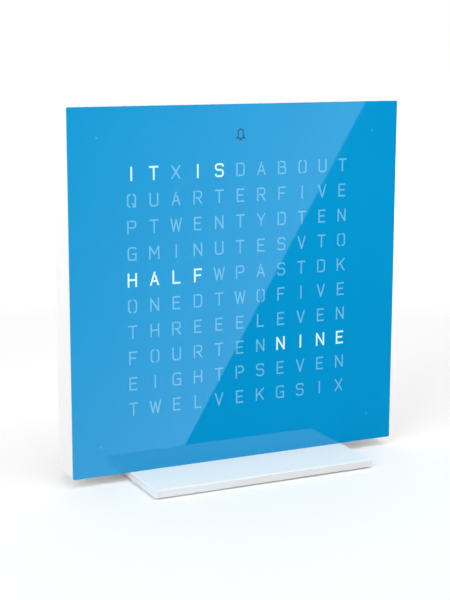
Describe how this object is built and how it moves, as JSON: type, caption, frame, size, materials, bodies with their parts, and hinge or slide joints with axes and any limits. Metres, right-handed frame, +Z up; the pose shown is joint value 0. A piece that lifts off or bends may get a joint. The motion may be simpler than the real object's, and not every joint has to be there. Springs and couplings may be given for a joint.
{
  "type": "word clock",
  "caption": "Square table word clock: a blue letter dial lit from behind, in a slim white case on a frosted base plate, with a magnetic front cover and rear setting buttons.",
  "frame": {"origin": "on the surface that the clock stands on, under the middle of the case and of the base plate", "axes": "+X to the right as seen from the dial, +Y from the dial to the back, +Z up"},
  "size_m": [0.135, 0.066, 0.1386],
  "materials": {
    "blue_film": "high gloss cut film",
    "opal_acrylic": "opal, polished front and satin edges",
    "nickel_magnet": "bright nickel plate",
    "white_case": "fine satin moulding",
    "white_grid": "matt moulding",
    "circuit_board": "white solder mask",
    "lamp_package": "phosphor filled package",
    "zinc_screw": "zinc plated, turned",
    "chip_epoxy": "matt moulding compound",
    "crystal_can": "bright can",
    "capacitor_ceramic": "fired",
    "black_nylon": "fine moulding",
    "cell_steel": "pressed and plated",
    "copper_foil": "rolled foil",
    "spring_bronze": "rolled strip",
    "button_plastic": "satin moulding",
    "rear_plastic": "fine satin moulding",
    "frosted_acrylic": "frosted faces, sawn and flamed edges",
    "insert_brass": "knurled and turned",
    "silicone_pad": "soft, translucent"
  },
  "bodies": {
    "clock": {"case": "white_case", "case_magnets": "nickel_magnet", "light_grid": "white_grid", "lamp_board": "circuit_board", "lamps": "lamp_package", "board_screws": "zinc_screw", "controller_chip": "chip_epoxy", "driver_chips": "chip_epoxy", "timing_crystal": "crystal_can", "capacitors": "capacitor_ceramic", "cell_holder": "black_nylon", "backup_cell": "cell_steel", "alarm_buzzer": "black_nylon", "power_socket": "black_nylon", "socket_pin": "cell_steel", "touch_foil": "copper_foil", "touch_contact": "spring_bronze", "button_switches": "black_nylon", "rear_cover": "rear_plastic", "rear_screws": "zinc_screw", "base": "frosted_acrylic", "base_screws": "zinc_screw", "base_inserts": "insert_brass", "base_pads": "silicone_pad"},
    "front_cover": {"face_film": "blue_film", "face_plate": "opal_acrylic", "cover_magnets": "nickel_magnet"},
    "minus_button": {"button_minus": "button_plastic", "plunger_minus": "black_nylon"},
    "set_button": {"button_set": "button_plastic", "plunger_set": "black_nylon"},
    "plus_button": {"button_plus": "button_plastic", "plunger_plus": "black_nylon"}
  },
  "joints": [
    {"name": "front_cover_pull", "type": "slide", "parent": "clock", "child": "front_cover", "axis": [0, -1, 0], "range_m": [0, 0.04]},
    {"name": "minus_button_push", "type": "slide", "parent": "clock", "child": "minus_button", "axis": [0, -1, 0], "range_m": [0, 0.0006], "stiffness_N_per_m": 400, "springref_m": -0.0015},
    {"name": "set_button_push", "type": "slide", "parent": "clock", "child": "set_button", "axis": [0, -1, 0], "range_m": [0, 0.0006], "stiffness_N_per_m": 400, "springref_m": -0.0015},
    {"name": "plus_button_push", "type": "slide", "parent": "clock", "child": "plus_button", "axis": [0, -1, 0], "range_m": [0, 0.0006], "stiffness_N_per_m": 400, "springref_m": -0.0015}
  ]
}
